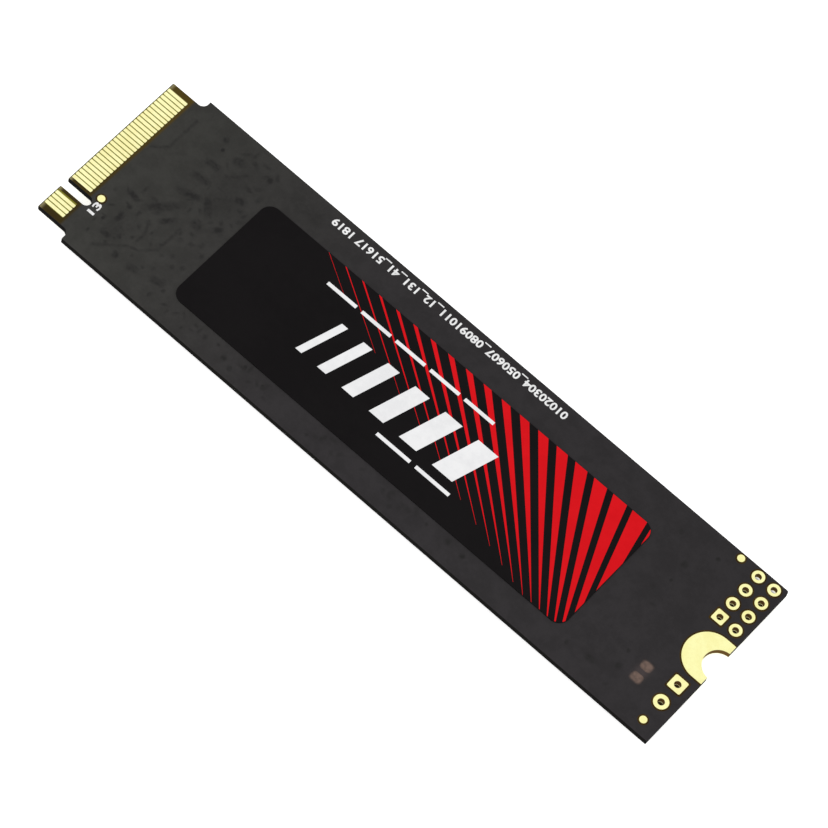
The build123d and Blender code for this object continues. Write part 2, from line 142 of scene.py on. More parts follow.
# Rounded blocks: a rounded rectangle carried up through each box and drawn in along a quarter circle
# at the top, the bottom or both; one more ring inside each drawn-in end keeps its face flat
def roundedBlocks(boxes, corner, edge, ends="both", cornerSteps=3, edgeSteps=3):
    turn = np.linspace(0, np.pi / 2, edgeSteps + 1)
    drawIn = np.append(edge * (1 - np.cos(turn)), flatInset * edge)
    drop = np.append(edge * (1 - np.sin(turn)), 0)
    plain = np.zeros(1), np.zeros(1)
    low = plain if ends == "high" else (drawIn[::-1], drop[::-1])
    high = plain if ends == "low" else (drawIn, drop)
    inset = np.concatenate([low[0], high[0]])[None, :, None, None]
    fromLow = np.arange(inset.size) < low[0].size
    offset = np.concatenate([low[1], -high[1]])
    quarter = np.arange(4).repeat(cornerSteps + 1)
    angle = np.pi / 2 * (quarter + np.tile(np.linspace(0, 1, cornerSteps + 1), 4))
    side = np.sign(onCircle(np.pi / 2 * quarter + np.pi / 4))
    half = ((boxes[:, 1] - boxes[:, 0]) / 2)[:, None, None, :2]
    centre = boxes.mean(axis=1)[:, None, None, :2]
    radius = np.minimum(corner, half.min(axis=-1, keepdims=True))
    radius = np.maximum(radius - inset, leastCorner * radius)
    flat = centre + side * np.maximum(half - inset - radius, 0) + radius * onCircle(angle)
    height = np.where(fromLow, boxes[:, :1, 2], boxes[:, 1:, 2]) + offset
    return gridForm(standing(flat, height[:, :, None, None]), closeColumns=True)


# Rim between two paths: each point of the cross-section lies a share of the way from the inner to
# the outer path plus an offset in millimetres, at its own height; the section runs round the paths
def carriedRim(innerPath, outerPath, section, closedPath=True):
    share, offset, height = (np.array(column, float)[:, None, None] for column in zip(*section))
    across = (outerPath - innerPath)[..., None, :, :]
    reach = np.linalg.norm(across, axis=-1, keepdims=True)
    flat = innerPath[..., None, :, :] + across / reach * (share * reach + offset)
    return gridForm(standing(flat, height), True, closedPath)


# Outline of a pad round its centre: a superellipse, round for power 2 and square for a high power
def padOutline(centres, half, power, steps=64):
    way, power = onCircle(fullTurn(steps)), power[:, None]
    reach = half / (np.abs(way[:, 0]) ** power + np.abs(way[:, 1]) ** power) ** (1 / power)
    return centres[:, None] + reach[..., None] * way


# Low ribs along bent lines: a rounded section carried along each line with mitred bends, its foot
# sunk into the face and its height falling to a small share past both ends
def lowRibs(lines, width, height, face, outward, endShare=0.05):
    across = width / 2 * np.array([-1, -1, -0.6, -0.2, 0.2, 0.6, 1, 1])
    rise = height * np.array([-0.5, 0, 0.5, 1, 1, 0.5, 0, -0.5])
    forms = []
    for line in lines:
        line = np.array(line, float)
        step = np.diff(line, axis=0)
        step /= np.linalg.norm(step, axis=1, keepdims=True)
        line = np.concatenate([line[:1] - step[:1] * width / 2, line, line[-1:] + step[-1:] * width / 2])
        step = np.concatenate([step[:1], step[:1], step, step[-1:], step[-1:]])
        mitre = step[1:] + step[:-1]
        mitre = 2 * mitre / (mitre ** 2).sum(axis=1, keepdims=True)
        normal = np.stack([-mitre[:, 1], mitre[:, 0]], axis=1)
        flat = line[:, None] + normal[:, None] * across[:, None]
        full = np.ones((len(line), 1))
        full[[0, -1]] = endShare
        tall = face + outward * np.where(rise > 0, rise * full, rise)
        forms.append(gridForm(standing(flat, tall[..., None]), closeColumns=True))
    return joinForms(forms)


# Low domes: superelliptic rings round each place, stretched, turned and raised along a bell curve,
# with the foot sunk into the face
def lowDomes(places, halves, turns, heights, face, outward, sides=14, power=2.0):
    girth = np.array([1, 1, 0.82, 0.62, 0.4, 0.18, 0])
    rise = np.array([-0.3, 0.04, 0.16, 0.42, 0.76, 0.96, 1])
    outline = onCircle(fullTurn(sides))
    outline /= (np.abs(outline) ** power).sum(axis=-1, keepdims=True) ** (1 / power)
    ring = girth[:, None, None] * outline * halves[:, None, None, :]
    cosine, sine = np.cos(turns)[:, None, None], np.sin(turns)[:, None, None]
    flat = np.stack([ring[..., 0] * cosine - ring[..., 1] * sine,
                     ring[..., 0] * sine + ring[..., 1] * cosine], axis=-1) + places[:, None, None]
    tall = face + outward * heights[:, None] * rise
    return gridForm(standing(flat, tall[:, :, None, None]), closeColumns=True)


# Places a node and wires or sets its inputs
def place(tree, kind, inputs=None, **settings):
    node = tree.nodes.new(kind)
    for key, value in settings.items():
        setattr(node, key, value)
    for key, value in (inputs or {}).items():
        if isinstance(value, bpy.types.NodeSocket):
            tree.links.new(value, node.inputs[key])
        else:
            node.inputs[key].default_value = value
    return node


def calc(tree, operation, first, second=0.0):
    return place(tree, "ShaderNodeMath", {0: first, 1: second}, operation=operation).outputs[0]


def scaled(tree, operation, first, second):
    return place(tree, "ShaderNodeVectorMath", {0: first, 1: second}, operation=operation).outputs[0]


def toned(tree, tint, tone):
    return place(tree, "ShaderNodeVectorMath", {0: tint, 3: tone}, operation="SCALE").outputs[0]


def blendColour(tree, share, first, second):
    return place(tree, "ShaderNodeMix", {0: share, 6: first, 7: second}, data_type="RGBA").outputs[2]


def smoothRange(tree, value, low, high, toLow=0.0, toHigh=1.0):
    inputs = {"Value": value, "From Min": low, "From Max": high, "To Min": toLow, "To Max": toHigh}
    return place(tree, "ShaderNodeMapRange", inputs, interpolation_type="SMOOTHSTEP").outputs[0]


def softNoise(tree, where, scale, detail):
    inputs = {"Vector": where, "Scale": scale, "Detail": detail, "Roughness": 0.6}
    return place(tree, "ShaderNodeTexNoise", inputs).outputs[0]


def objectPlace(tree):
    return place(tree, "ShaderNodeTexCoord").outputs["Object"]


def colour(red, green, blue):
    return (red, green, blue, 1.0)


# Shared effects are node groups with named sockets
def newGroup(name, inputs, outputs):
    group = bpy.data.node_groups.new(name, "ShaderNodeTree")
    for key, start in inputs.items():
        socket = group.interface.new_socket(key, in_out="INPUT", socket_type="NodeSocketFloat")
        socket.default_value = start
    for key, kind in outputs.items():
        group.interface.new_socket(key, in_out="OUTPUT", socket_type="NodeSocket" + kind)
    return group, group.nodes.new("NodeGroupInput").outputs


def closeGroup(group, results):
    end = group.nodes.new("NodeGroupOutput")
    for key, value in results.items():
        group.links.new(value, end.inputs[key])
    return group


def useGroup(tree, group, **values):
    return place(tree, "ShaderNodeGroup", values, node_tree=group).outputs


# Grain: fine noise gives a tone about 1 and a bumped normal
def buildGrain():
    start = {"Scale": 3000.0, "Stretch": 1.0, "Contrast": 0.1, "Relief": 0.1}
    group, given = newGroup("surfaceGrain", start, {"Tone": "Float", "Normal": "Vector"})
    stretch = place(group, "ShaderNodeCombineXYZ", {0: given["Stretch"], 1: 1.0, 2: 1.0}).outputs[0]
    noise = softNoise(group, scaled(group, "MULTIPLY", objectPlace(group), stretch), given["Scale"], 3.0)
    swing = calc(group, "MULTIPLY", calc(group, "SUBTRACT", noise, 0.5), given["Contrast"])
    tone = calc(group, "ADD", calc(group, "MULTIPLY", swing, 2.0), 1.0)
    inputs = {"Strength": given["Relief"], "Distance": 0.02 * mm, "Height": noise}
    normal = place(group, "ShaderNodeBump", inputs).outputs[0]
    return closeGroup(group, {"Tone": tone, "Normal": normal})


# Blotches: two sizes of soft noise, each with its share, give a mask between 0 and 1
blotchForm = {"coarseShare": 0.6, "fineShare": 0.4, "range": (0.36, 0.64)}


def buildBlotches(form):
    group, given = newGroup("softBlotches", {"Coarse": 300.0, "Fine": 1200.0}, {"Mask": "Float"})
    where = objectPlace(group)
    coarse = calc(group, "MULTIPLY", softNoise(group, where, given["Coarse"], 1.0), form["coarseShare"])
    fine = calc(group, "MULTIPLY", softNoise(group, where, given["Fine"], 2.0), form["fineShare"])
    mask = smoothRange(group, calc(group, "ADD", coarse, fine), *form["range"])
    return closeGroup(group, {"Mask": mask})


# Board level: how deep a point lies between the board's two faces, and how far it stands out over
# them, each rising smoothly from 0 to 1 over a given number of millimetres
def buildBoardLevel():
    start = {"Depth": 0.03, "Height": 0.012}
    group, given = newGroup("boardLevel", start, {"Inside": "Float", "Raised": "Float"})
    tall = place(group, "ShaderNodeSeparateXYZ", {0: objectPlace(group)}).outputs[2]
    tall = calc(group, "SUBTRACT", calc(group, "DIVIDE", tall, mm), (chipFace + labelFace) / 2)
    over = calc(group, "SUBTRACT", calc(group, "ABSOLUTE", tall), (labelFace - chipFace) / 2)
    inside = smoothRange(group, calc(group, "DIVIDE", over, given["Depth"]), -1.0, 0.0, 1.0, 0.0)
    raised = smoothRange(group, calc(group, "DIVIDE", over, given["Height"]), 0.0, 1.0)
    return closeGroup(group, {"Inside": inside, "Raised": raised})


surfaceGrain, softBlotches, boardLevel = buildGrain(), buildBlotches(blotchForm), buildBoardLevel()


def newFinish(name):
    material = bpy.data.materials.new(name)
    material.use_nodes = True
    return material, material.node_tree, material.node_tree.nodes["Principled BSDF"]


# Wires a base colour, its grain and its roughness into the shader. Where the dulled mask is 1, the
# surface takes the edge roughness and no longer shines as metal
def finishSurface(tree, shader, base, look, dulled=None):
    grain = useGroup(tree, surfaceGrain, Scale=look["grain"], Stretch=look["stretch"],
                     Contrast=look["contrast"], Relief=look["relief"])
    rough = calc(tree, "MULTIPLY", grain["Tone"], look["roughness"])
    shader.inputs["Metallic"].default_value = look["metallic"]
    shader.inputs["Specular IOR Level"].default_value = look["specular"]
    if dulled:
        rough = smoothRange(tree, dulled, 0.0, 1.0, rough, look["edgeRoughness"])
    if dulled and look["metallic"]:
        metal = smoothRange(tree, dulled, 0.0, 1.0, look["metallic"], 0.0)
        tree.links.new(metal, shader.inputs["Metallic"])
    tree.links.new(toned(tree, base, grain["Tone"]), shader.inputs["Base Color"])
    tree.links.new(rough, shader.inputs["Roughness"])
    tree.links.new(grain["Normal"], shader.inputs["Normal"])


def blotchedColour(tree, dark, light, coarse, fine):
    mask = useGroup(tree, softBlotches, Coarse=coarse, Fine=fine)["Mask"]
    return blendColour(tree, mask, colour(*dark), colour(*light))


# One plain finish: two tones blended by blotches; on the walls inside the board plating takes a dark brown
# painted shade
def plainFinish(name, look):
    material, tree, shader = newFinish(name)
    base = blotchedColour(tree, look["dark"], look["light"], look["coarse"], look["fine"])
    inside = None
    # Painted shade: the wall colour darkens plating inside the holes and the notch
    if "wall" in look:
        inside = useGroup(tree, boardLevel, Depth=look["wallDepth"])["Inside"]
        base = blendColour(tree, inside, base, colour(*look["wall"]))
    finishSurface(tree, shader, base, look, inside)
    return material


# What a finish has where it names nothing else
plainLook = dict(metallic=0.0, specular=0.5, grain=9000.0, contrast=0.2, relief=0.2, stretch=1.0,
                 coarse=300.0, fine=1400.0)
finishes = {
    "padGold": dict(dark=(0.96, 0.92, 0.42), light=(1.0, 0.98, 0.49), wall=(0.16, 0.085, 0.02),
                    wallDepth=0.05, metallic=1.0, roughness=0.32, edgeRoughness=0.9, specular=0.1,
                    contrast=0.05, relief=0.04, coarse=700.0, fine=3000.0),
    "fingerGold": dict(dark=(0.96, 0.90, 0.45), light=(1.0, 0.97, 0.53), metallic=1.0, roughness=0.3,
                       grain=12000.0, contrast=0.06, relief=0.04, stretch=0.08, coarse=500.0, fine=2500.0),
    "padRim": dict(dark=(0.034, 0.018, 0.003), light=(0.058, 0.033, 0.006), roughness=0.7, specular=0.05,
                   relief=0.1, coarse=900.0, fine=4000.0),
    "labelFilm": dict(dark=(0.0052, 0.0043, 0.0047), light=(0.0064, 0.0054, 0.0058), roughness=0.42,
                      specular=0.05, grain=7000.0, contrast=0.1, relief=0.04, coarse=120.0, fine=900.0),
    "redInk": dict(dark=(0.69, 0.0050, 0.0098), light=(0.73, 0.0062, 0.0112), roughness=0.45,
                   specular=0.05, contrast=0.05, relief=0.04),
    "whiteInk": dict(dark=(0.86, 0.86, 0.87), light=(0.93, 0.93, 0.935), roughness=0.5, specular=0.15,
                     contrast=0.04, relief=0.05),
    "boardInk": dict(dark=(0.80, 0.80, 0.80), light=(0.94, 0.94, 0.94), roughness=0.6, specular=0.2,
                     grain=12000.0, contrast=0.15, coarse=1500.0, fine=5000.0),
    "chipMould": dict(dark=(0.016, 0.016, 0.017), light=(0.022, 0.022, 0.023), roughness=0.6,
                      specular=0.3, grain=14000.0, contrast=0.35, relief=0.35, coarse=250.0, fine=2500.0),
    "solder": dict(dark=(0.56, 0.57, 0.58), light=(0.70, 0.71, 0.72), metallic=1.0, roughness=0.34,
                   grain=6000.0),
    "tinnedEnd": dict(dark=(0.58, 0.58, 0.57), light=(0.72, 0.72, 0.70), metallic=1.0, roughness=0.42,
                      relief=0.25),
    "ceramicTan": dict(dark=(0.20, 0.135, 0.078), light=(0.26, 0.180, 0.108), roughness=0.55,
                       specular=0.4, coarse=900.0, fine=4000.0),
    "ceramicDark": dict(dark=(0.017, 0.016, 0.016), light=(0.026, 0.025, 0.024), roughness=0.5,
                        specular=0.4),
    "coilGrey": dict(dark=(0.060, 0.060, 0.062), light=(0.085, 0.085, 0.088), roughness=0.65,
                     specular=0.3, contrast=0.4, relief=0.5),
}
made = {name: plainFinish(name, plainLook | look) for name, look in finishes.items()}

# Board finish: black mask, with painted light that makes it lighter towards the connector end and the
# near long edge, bare laminate on the tab, lighter at its tip and between the contacts, and pressed
# layers along the routed edge. What stands out over the faces takes the raised tone. Zones and heights are
# millimetres
boardLook = {
    "maskDark": (0.0229, 0.0207, 0.0219),
    "maskLight": (0.0282, 0.0255, 0.0271),
    "maskScales": (420.0, 1700.0),
    "maskStart": tipX + 3.15,
    "maskSoftness": 0.4,
    # Painted light: the mask is tinted lighter towards the connector end
    "paintedLightTint": (1.42, 1.54, 1.31),
    "paintedLightZone": (-38.0, -4.0),
    "acrossZone": (-11.0, 9.0),
    # Painted light: the mask tone falls from the near long edge to the far one
    "paintedLightAcross": (1.09, 0.97),
    "raisedHeight": 0.014,
    "brokenScales": (1300.0, 2600.0),
    "laminateDark": (0.050, 0.032, 0.003),
    "laminateTone": (0.72, 1.4),
    "laminateLight": (0.300, 0.260, 0.130),
    "laminateGap": (0.200, 0.185, 0.012),
    "tipZone": (tipX, tipX + 0.6),
    "rowEnd": (tipX + 2.55, tipX + 2.62),
    "rowSides": (9.2, 9.3),
    "keyMiddle": -6.125,
    "keySides": (0.95, 1.05),
    "layerDark": (0.0008, 0.0007, 0.0005),
    "layerLight": (0.0056, 0.0046, 0.0032),
    "layerStretch": (60.0, 60.0, 5000.0),
    "edgeDepth": 0.03,
    "roughness": 0.5,
    "edgeRoughness": 0.95,
    "specular": 0.1,
    "grain": 5000.0,
    "contrast": 0.12,
    "relief": 0.08,
}
# Tone of what stands out, and the least share of it that blotches leave
raisedLooks = {
    "blackBoard": {"tone": (0.0155, 0.0147, 0.0143), "least": 0.55},
    "hazedBoard": {"tone": (0.075, 0.058, 0.057), "least": 0.9},
    "dulledLand": {"tone": (0.172, 0.116, 0.094), "least": 0.68},
}


def maskColour(tree, look, raisedLook, along, across, raised):
    mask = blotchedColour(tree, look["maskDark"], look["maskLight"], *look["maskScales"])
    # Painted light: lighter towards the connector end and towards the near long edge
    paintedLightShare = smoothRange(tree, along, *look["paintedLightZone"], 1.0, 0.0)
    tint = blendColour(tree, paintedLightShare, colour(1, 1, 1), colour(*look["paintedLightTint"]))
    tone = smoothRange(tree, across, *look["acrossZone"], *look["paintedLightAcross"])
    mask = toned(tree, scaled(tree, "MULTIPLY", mask, tint), tone)
    coarse, fine = look["brokenScales"]
    broken = useGroup(tree, softBlotches, Coarse=coarse, Fine=fine)["Mask"]
    share = smoothRange(tree, broken, 0.0, 1.0, raisedLook["least"], 1.0)
    return blendColour(tree, calc(tree, "MULTIPLY", raised, share), mask, colour(*raisedLook["tone"]))


# The row of contacts lies within its sides, ahead of its end and clear of the key slot
def laminateColour(tree, look, along, across):
    tone = smoothRange(tree, across, *look["acrossZone"], *look["laminateTone"])
    bare = toned(tree, look["laminateDark"], tone)
    towardsTip = smoothRange(tree, along, *look["tipZone"], 1.0, 0.0)
    bare = blendColour(tree, towardsTip, bare, colour(*look["laminateLight"]))
    ahead = smoothRange(tree, along, *look["rowEnd"], 1.0, 0.0)
    within = smoothRange(tree, calc(tree, "ABSOLUTE", across), *look["rowSides"], 1.0, 0.0)
    fromKey = calc(tree, "ABSOLUTE", calc(tree, "SUBTRACT", across, look["keyMiddle"]))
    inRow = calc(tree, "MULTIPLY", ahead, within)
    inRow = calc(tree, "MULTIPLY", inRow, smoothRange(tree, fromKey, *look["keySides"]))
    return blendColour(tree, inRow, bare, colour(*look["laminateGap"]))


def layerColour(tree, look, where):
    layers = softNoise(tree, scaled(tree, "MULTIPLY", where, look["layerStretch"]), 1.0, 2.0)
    return blendColour(tree, layers, colour(*look["layerDark"]), colour(*look["layerLight"]))


def boardFinish(name, look, raisedLook):
    material, tree, shader = newFinish(name)
    where = objectPlace(tree)
    spot = place(tree, "ShaderNodeSeparateXYZ", {0: where}).outputs
    along, across = calc(tree, "DIVIDE", spot[0], mm), calc(tree, "DIVIDE", spot[1], mm)
    level = useGroup(tree, boardLevel, Depth=look["edgeDepth"], Height=look["raisedHeight"])
    mask = maskColour(tree, look, raisedLook, along, across, level["Raised"])
    bare = laminateColour(tree, look, along, across)
    onTab = smoothRange(tree, along, look["maskStart"] - look["maskSoftness"], look["maskStart"], 1.0, 0.0)
    face = blendColour(tree, onTab, mask, bare)
    base = blendColour(tree, level["Inside"], face, layerColour(tree, look, where))
    finishSurface(tree, shader, base, look, level["Inside"])
    return material


for name, raisedLook in raisedLooks.items():
    made[name] = boardFinish(name, plainLook | boardLook, raisedLook)
print("finishes:", len(made))

# CAD nodes that stay in view only take a finish
kept = {
    "circuit_board": "blackBoard",
    "label_red_stripes": "redInk",
    "label_white_print": "whiteInk",
    "power_chip_leads": "tinnedEnd",
}
for nodeName, finish in kept.items():
    nodes[nodeName].data.materials.clear()
    nodes[nodeName].data.materials.append(made[finish])

# Label film with a soft upper edge
labelForm = {"corner": 1.3, "edge": 0.03}
film = roundedBlocks(solidBoxes("label"), labelForm["corner"], labelForm["edge"], "high", 12, 3)
addPiece("soft_label", film, "labelFilm", ["label"])

# Edge contacts: thin strips with soft upper edges; the plating swells a little over the copper
contactForm = {"corner": 0.09, "edge": 0.018, "swell": 0.008}
for side, ends in outerEnds.items():
    boxes = solidBoxes("edge_contacts_" + side)
    boxes[:, :, 1] += contactForm["swell"] * np.array([-1, 1])
    strips = roundedBlocks(boxes, contactForm["corner"], contactForm["edge"], ends, 3, 2)
    addPiece("soft_contacts_" + side, strips, "fingerGold", ["edge_contacts_" + side])

# Fiducial dots: flat round pads with soft rims
dotForm = {"edge": 0.02}
dots = solidBoxes("fiducial_dots")
dotDiameter = dots[0, 1, 0] - dots[0, 0, 0]
dotsUp = dots[:, 0, 2] > chipFace
dotSides = {"label_side": dots[dotsUp], "chip_side": dots[~dotsUp]}
for side, boxes in dotSides.items():
    pads = roundedBlocks(boxes, dotDiameter, dotForm["edge"], outerEnds[side], 8, 3)
    addPiece("fiducial_dots_" + side, pads, "padGold", ["fiducial_dots"])

# Spare lands: low lumps of dull copper that fade into the mask, set a little nearer to each other,
# with a lighter haze round both
landForm = {"grow": 1.4, "nearness": 0.9, "height": 0.024, "power": 3.4, "sides": 32}
hazeForm = {"reach": 0.6, "height": 0.009}
lands = solidBoxes("spare_lands")[:, :, :2]
lands = lands + (landForm["nearness"] - 1) * (lands.mean(axis=1) - lands.mean(axis=(0, 1)))[:, None]
hazeBox = np.stack([lands[:, 0].min(axis=0), lands[:, 1].max(axis=0)])[None]


def landDomes(boxes, grow, reach, height):
    halves = (boxes[:, 1] - boxes[:, 0]) / 2 * grow + reach
    heights, turns = np.full(len(boxes), height), np.zeros(len(boxes))
    shape = landForm["sides"], landForm["power"]
    return lowDomes(boxes.mean(axis=1), halves, turns, heights, labelFace, 1, *shape)


lumps = landDomes(lands, landForm["grow"], 0.0, landForm["height"])
addPiece("soft_spare_lands", lumps, "dulledLand", ["spare_lands"])
haze = landDomes(hazeBox, 1.0, hazeForm["reach"], hazeForm["height"])
addPiece("land_haze", haze, "hazedBoard")

# Plated holes and the screw notch share one cross-section: pad, rolled lip, barrel, lip and pad
platingForm = {"lip": 0.02, "barrel": 0.025, "squarePower": 12.0}


def platingSection(low, high, form):
    lip, part, flat = form["lip"], form["lip"] * 0.3, form["lip"] * 2
    return [
        (0, 0, low + flat), (0, 0, low + lip), (0, part, low + part), (0, lip, low), (0, flat, low),
        (1, -flat, low), (1, -lip, low), (1, -part, low + part), (1, 0, low + lip), (1, 0, chipFace),
        (0, form["barrel"], chipFace), (0, form["barrel"], labelFace),
        (1, 0, labelFace), (1, 0, high - lip), (1, -part, high - part), (1, -lip, high), (1, -flat, high),
        (0, flat, high), (0, lip, high), (0, part, high - part), (0, 0, high - lip), (0, 0, high - flat),
    ]


# Hole radius of each set, and the way from its middle towards its square pad
holeSets = {
    "header_eyelets": {"hole": 0.35, "square": (-1, -1)},
    "jumper_eyelets": {"hole": 0.375, "square": (0, 1)},
}
padCentres, padHalves, padPowers = [], [], []
for nodeName, holes in holeSets.items():
    boxes = solidBoxes(nodeName)
    centres = boxes.mean(axis=1)[:, :2]
    half = (boxes[:, 1] - boxes[:, 0])[:, 0].max() / 2
    power = np.full(len(boxes), 2.0)
    power[np.argmax(centres @ np.array(holes["square"]))] = platingForm["squarePower"]
    eyelets = carriedRim(
        padOutline(centres, holes["hole"], np.full(len(boxes), 2.0)),
        padOutline(centres, half, power),
        platingSection(boxes[0, 0, 2], boxes[0, 1, 2], platingForm),
    )
    addPiece("soft_" + nodeName, eyelets, "padGold", [nodeName])
    padCentres.append(centres)
    padHalves.append(np.full(len(boxes), half))
    padPowers.append(power)

notchForm = {"radius": 1.75, "overrun": 0.1, "padRadius": 2.8, "padInset": 1.2, "steps": 64}


# Notch paths: an arc along the notch wall, and the pad's straight sides and half circle, by length
def notchPaths(form, grow=0.0):
    start = np.arccos(-form["overrun"] / form["radius"])
    angle = np.linspace(start, 2 * np.pi - start, form["steps"])
    inner = form["radius"] * onCircle(angle) + (endX + form["overrun"], 0)
    radius = form["padRadius"] + grow
    half = np.linspace(np.pi / 2, 3 * np.pi / 2, form["steps"])
    bend = radius * onCircle(half) + (endX - form["padInset"], 0)
    outline = np.concatenate([[(endX, radius)], bend, [(endX, -radius)]])
    travelled = np.concatenate([[0], np.cumsum(np.linalg.norm(np.diff(outline, axis=0), axis=1))])
    at = np.linspace(0, travelled[-1], form["steps"])
    outer = np.stack([np.interp(at, travelled, outline[:, axis]) for axis in (0, 1)], axis=1)
    return inner, outer


notchBox = solidBoxes("screw_notch_plating")[0]
section = platingSection(notchBox[0, 2], notchBox[1, 2], platingForm)
plating = carriedRim(*notchPaths(notchForm), section, False)
addPiece("soft_screw_notch", plating, "padGold", ["screw_notch_plating"])

# Pad rims: the brown band of bare laminate and mask edge that laps each pad, on both faces
rimForm = {"lap": 0.08, "width": 0.1, "lapHeight": 0.038, "lapEdge": 0.004, "footHeight": 0.004}
dotCentres = dotSides["label_side"].mean(axis=1)[:, :2]
padCentres = np.concatenate(padCentres + [dotCentres])
padHalves = np.concatenate(padHalves + [np.full(len(dotCentres), dotDiameter / 2)])[:, None]
padPowers = np.concatenate(padPowers + [np.full(len(dotCentres), 2.0)])
for side, (face, outward) in faceSides.items():
    lapTop, footTop = face + outward * rimForm["lapHeight"], face + outward * rimForm["footHeight"]
    section = [(0, 0, face), (0, 0, lapTop - outward * rimForm["lapEdge"]), (0.12, 0, lapTop),
               (0.4, 0, lapTop), (0.7, 0, (lapTop + 2 * footTop) / 3), (1, 0, footTop), (1, 0, face)]
    roundRims = carriedRim(
        padOutline(padCentres, padHalves - rimForm["lap"], padPowers),
        padOutline(padCentres, padHalves + rimForm["width"], padPowers),
        section,
    )
    notchRim = carriedRim(
        notchPaths(notchForm, -rimForm["lap"])[1],
        notchPaths(notchForm, rimForm["width"])[1],
        section,
        False,
    )
    addPiece("pad_rims_" + side, joinForms([roundRims, notchRim]), "padRim")
print("plated pads:", len(padCentres) + 1)

# Moulded packages: one folded sheet per chip. Across each direction it climbs the wall, rounds the
# edge and crosses the face; the drop at a point is the larger of the two, plus the dimple's bowl
packageForm = {
    "edge": 0.08,
    "edgeSteps": 4,
    "flatSteps": 6,
    "dimpleInset": 1.1,
    "dimpleRadius": 0.42,
    "dimpleDepth": 0.05,
    "dimpleRim": 0.35,
    "dimpleReach": 1.1,
    "dimpleSteps": 15,
}


def mouldedPackage(box, form):
    turn = np.linspace(0, np.pi / 2, form["edgeSteps"])
    inset, fall = form["edge"] * (1 - np.cos(turn)), form["edge"] * (1 - np.sin(turn))
    dimple = np.array([box[0, 0], box[1, 1]]) + form["dimpleInset"] * np.array([1, -1])
    wall = box[1, 2] - box[0, 2]
    flat, reach = flatInset * form["edge"], form["dimpleReach"]
    bowl = form["dimpleRadius"] * np.linspace(-reach, reach, form["dimpleSteps"])
    stations = []
    for axis in (0, 1):
        low, high = box[:, axis]
        plain = np.linspace(low + flat, high - flat, form["flatSteps"])
        crossing = np.sort(np.concatenate([plain, dimple[axis] + bowl]))
        spots = np.concatenate([[low], low + inset, crossing, high - inset[::-1], [high]])
        drops = np.concatenate([[wall], fall, np.zeros(len(crossing)), fall[::-1], [wall]])
        stations.append((spots, drops))
    x, y = np.meshgrid(stations[0][0], stations[1][0], indexing="ij")
    drop = np.maximum(stations[0][1][:, None], stations[1][1][None, :])
    apart = np.hypot(x - dimple[0], y - dimple[1]) / form["dimpleRadius"]
    bowl = np.clip((1 - apart) / form["dimpleRim"], 0, 1)
    drop = drop + form["dimpleDepth"] * bowl * bowl * (3 - 2 * bowl)
    return gridForm(np.stack([x, y, box[0, 2] + drop], axis=-1))


chipNodes = [f"memory_chip_{number}" for number in range(1, 5)] + ["controller_chip", "power_chip"]
for nodeName in chipNodes:
    package = mouldedPackage(solidBoxes(nodeName)[0], packageForm)
    addPiece("moulded_" + nodeName, package, "chipMould", [nodeName], crease=35)
print("packages:", len(chipNodes))

# Solder balls: short barrels, a ring swelling and closing with height, on the package's own grid
ballForm = {"sides": 8, "rings": 4, "swell": 0.3}
ballGrids = {f"memory_balls_{number}": {"rows": 17, "gap": (5, 11)} for number in range(1, 5)}
ballGrids["controller_balls"] = {"rows": 17, "gap": (1, 1)}


def solderBalls(boxes, grid, form):
    centres = boxes.mean(axis=1)
    columns = np.unique(np.round(centres[:, 0], 3))
    rows = np.linspace(centres[:, 1].min(), centres[:, 1].max(), grid["rows"])
    spots = np.stack(np.meshgrid(columns, rows, indexing="ij"), axis=-1)
    step = np.stack(np.meshgrid(np.arange(len(columns)), np.arange(len(rows)), indexing="ij"), axis=-1)
    fromMiddle = np.abs(step - (np.array(step.shape[:2]) - 1) / 2)
    spots = spots[(fromMiddle > np.array(grid["gap"]) / 2).any(axis=-1)]
    rise = np.linspace(0, 1, form["rings"])
    girth = (boxes[0, 1, 0] - boxes[0, 0, 0]) / 2 * (1 - form["swell"] * (2 * rise - 1) ** 2)
    flat = spots[:, None, None] + girth[:, None, None] * onCircle(fullTurn(form["sides"]))
    tall = boxes[0, 0, 2] + rise * (boxes[0, 1, 2] - boxes[0, 0, 2])
    return gridForm(standing(flat, tall[:, None, None]), closeColumns=True)


for nodeName, grid in ballGrids.items():
    balls = solderBalls(solidBoxes(nodeName), grid, ballForm)
    addPiece("round_" + nodeName, balls, "solder", [nodeName], crease=60)

# Small parts: soft-edged bodies and metal ends, each end with a hollow solder fillet down to the board.
# A fillet climbs a share of its end's height, and a body's edge is a share of its end's
smallForm = {"climb": 0.62, "filletSteps": 5, "bodyEdge": 0.7}
smallParts = {
    "capacitor": {"body": "ceramicTan", "bodySlot": "ceramic_tan", "edge": 0.03, "fillet": 0.22},
    "bulk_capacitor": {"body": "ceramicTan", "bodySlot": "ceramic_tan", "edge": 0.05, "fillet": 0.3},
    "inductor": {"body": "coilGrey", "bodySlot": "coil_grey", "edge": 0.08, "fillet": 0.25},
    "resistor": {"body": "ceramicDark", "bodySlot": "ceramic_dark", "edge": 0.02, "fillet": 0.2},
}


